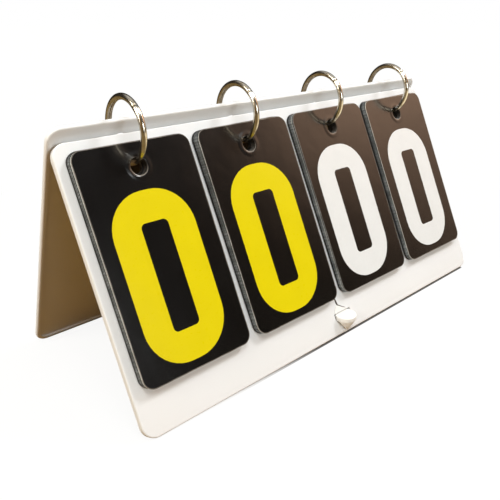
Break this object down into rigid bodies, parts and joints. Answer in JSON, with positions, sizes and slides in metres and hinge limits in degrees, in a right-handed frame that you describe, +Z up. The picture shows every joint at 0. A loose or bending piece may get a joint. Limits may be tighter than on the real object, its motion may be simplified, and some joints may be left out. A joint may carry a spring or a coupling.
{
  "type": "flip scoreboard",
  "caption": "Folding A-frame desk scoreboard: two hinged plastic leaves, book rings over the top carrying stacks of flip number cards, and a small latch lever at the foot",
  "frame": {"origin": "middle of the footprint, on the table", "axes": "+X to the right as seen from the front, +Y to the back, +Z up"},
  "size_m": [0.24, 0.1026, 0.1211],
  "materials": {
    "leaf_plastic": "satin moulded warm white plastic",
    "latch_plastic": "smooth white plastic",
    "laminated_card": "black printed card with a glossy laminate",
    "ring_nickel": "nickel plated wire",
    "rivet_steel": "peened steel",
    "pin_steel": "drawn steel wire"
  },
  "bodies": {
    "front_leaf": {"front_leaf": "leaf_plastic", "hinge_rod": "pin_steel", "latch_pin": "pin_steel", "left_tens_card_1": "laminated_card", "left_tens_card_2": "laminated_card", "left_tens_card_3": "laminated_card", "left_tens_card_4": "laminated_card", "left_tens_card_5": "laminated_card", "left_tens_card_6": "laminated_card", "left_tens_card_7": "laminated_card", "left_tens_card_8": "laminated_card", "left_tens_card_9": "laminated_card", "left_units_card_1": "laminated_card", "left_units_card_2": "laminated_card", "left_units_card_3": "laminated_card", "left_units_card_4": "laminated_card", "left_units_card_5": "laminated_card", "left_units_card_6": "laminated_card", "left_units_card_7": "laminated_card", "left_units_card_8": "laminated_card", "left_units_card_9": "laminated_card", "right_tens_card_1": "laminated_card", "right_tens_card_2": "laminated_card", "right_tens_card_3": "laminated_card", "right_tens_card_4": "laminated_card", "right_tens_card_5": "laminated_card", "right_tens_card_6": "laminated_card", "right_tens_card_7": "laminated_card", "right_tens_card_8": "laminated_card", "right_tens_card_9": "laminated_card", "right_units_card_1": "laminated_card", "right_units_card_2": "laminated_card", "right_units_card_3": "laminated_card", "right_units_card_4": "laminated_card", "right_units_card_5": "laminated_card", "right_units_card_6": "laminated_card", "right_units_card_7": "laminated_card", "right_units_card_8": "laminated_card", "right_units_card_9": "laminated_card"},
    "rear_leaf": {"rear_leaf": "leaf_plastic"},
    "latch": {"latch_lever": "latch_plastic"},
    "left_tens_ring": {"left_tens_ring_front_half": "ring_nickel", "left_tens_ring_rear_half": "ring_nickel", "left_tens_ring_rivet": "rivet_steel"},
    "left_units_ring": {"left_units_ring_front_half": "ring_nickel", "left_units_ring_rear_half": "ring_nickel", "left_units_ring_rivet": "rivet_steel"},
    "right_tens_ring": {"right_tens_ring_front_half": "ring_nickel", "right_tens_ring_rear_half": "ring_nickel", "right_tens_ring_rivet": "rivet_steel"},
    "right_units_ring": {"right_units_ring_front_half": "ring_nickel", "right_units_ring_rear_half": "ring_nickel", "right_units_ring_rivet": "rivet_steel"},
    "left_tens_front_card": {"left_tens_card_0": "laminated_card"},
    "left_units_front_card": {"left_units_card_0": "laminated_card"},
    "right_tens_front_card": {"right_tens_card_0": "laminated_card"},
    "right_units_front_card": {"right_units_card_0": "laminated_card"}
  },
  "joints": [
    {"name": "stand_fold", "type": "hinge", "parent": "front_leaf", "child": "rear_leaf", "pos_m": [0, 0.00591, 0.10047], "axis": [-1, 0, 0], "range_deg": [0, 48.9]},
    {"name": "latch_lift", "type": "hinge", "parent": "front_leaf", "child": "latch", "pos_m": [0, -0.04268, 0.00847], "axis": [-1, 0, 0], "range_deg": [0, 26.3]},
    {"name": "left_tens_ring_turn", "type": "hinge", "parent": "front_leaf", "child": "left_tens_ring", "pos_m": [-0.0885, 0.00214, 0.10679], "axis": [-1, 0, 0], "range_deg": [0, 232]},
    {"name": "left_units_ring_turn", "type": "hinge", "parent": "front_leaf", "child": "left_units_ring", "pos_m": [-0.0295, 0.00214, 0.10679], "axis": [-1, 0, 0], "range_deg": [0, 232]},
    {"name": "right_tens_ring_turn", "type": "hinge", "parent": "front_leaf", "child": "right_tens_ring", "pos_m": [0.0295, 0.00214, 0.10679], "axis": [-1, 0, 0], "range_deg": [0, 232]},
    {"name": "right_units_ring_turn", "type": "hinge", "parent": "front_leaf", "child": "right_units_ring", "pos_m": [0.0885, 0.00214, 0.10679], "axis": [-1, 0, 0], "range_deg": [0, 232]},
    {"name": "left_tens_card_flip", "type": "hinge", "parent": "left_tens_ring", "child": "left_tens_front_card", "pos_m": [-0.0885, -0.0043, 0.09654], "axis": [-1, 0, 0], "range_deg": [0, 72]},
    {"name": "left_units_card_flip", "type": "hinge", "parent": "left_units_ring", "child": "left_units_front_card", "pos_m": [-0.0295, -0.0043, 0.09654], "axis": [-1, 0, 0], "range_deg": [0, 72]},
    {"name": "right_tens_card_flip", "type": "hinge", "parent": "right_tens_ring", "child": "right_tens_front_card", "pos_m": [0.0295, -0.0043, 0.09654], "axis": [-1, 0, 0], "range_deg": [0, 72]},
    {"name": "right_units_card_flip", "type": "hinge", "parent": "right_units_ring", "child": "right_units_front_card", "pos_m": [0.0885, -0.0043, 0.09654], "axis": [-1, 0, 0], "range_deg": [0, 72]}
  ],
  "couplings": [
    {"joint": "left_tens_card_flip", "follows": "left_tens_ring_turn", "ratio": 0.31034},
    {"joint": "left_units_card_flip", "follows": "left_units_ring_turn", "ratio": 0.31034},
    {"joint": "right_tens_card_flip", "follows": "right_tens_ring_turn", "ratio": 0.31034},
    {"joint": "right_units_card_flip", "follows": "right_units_ring_turn", "ratio": 0.31034}
  ]
}
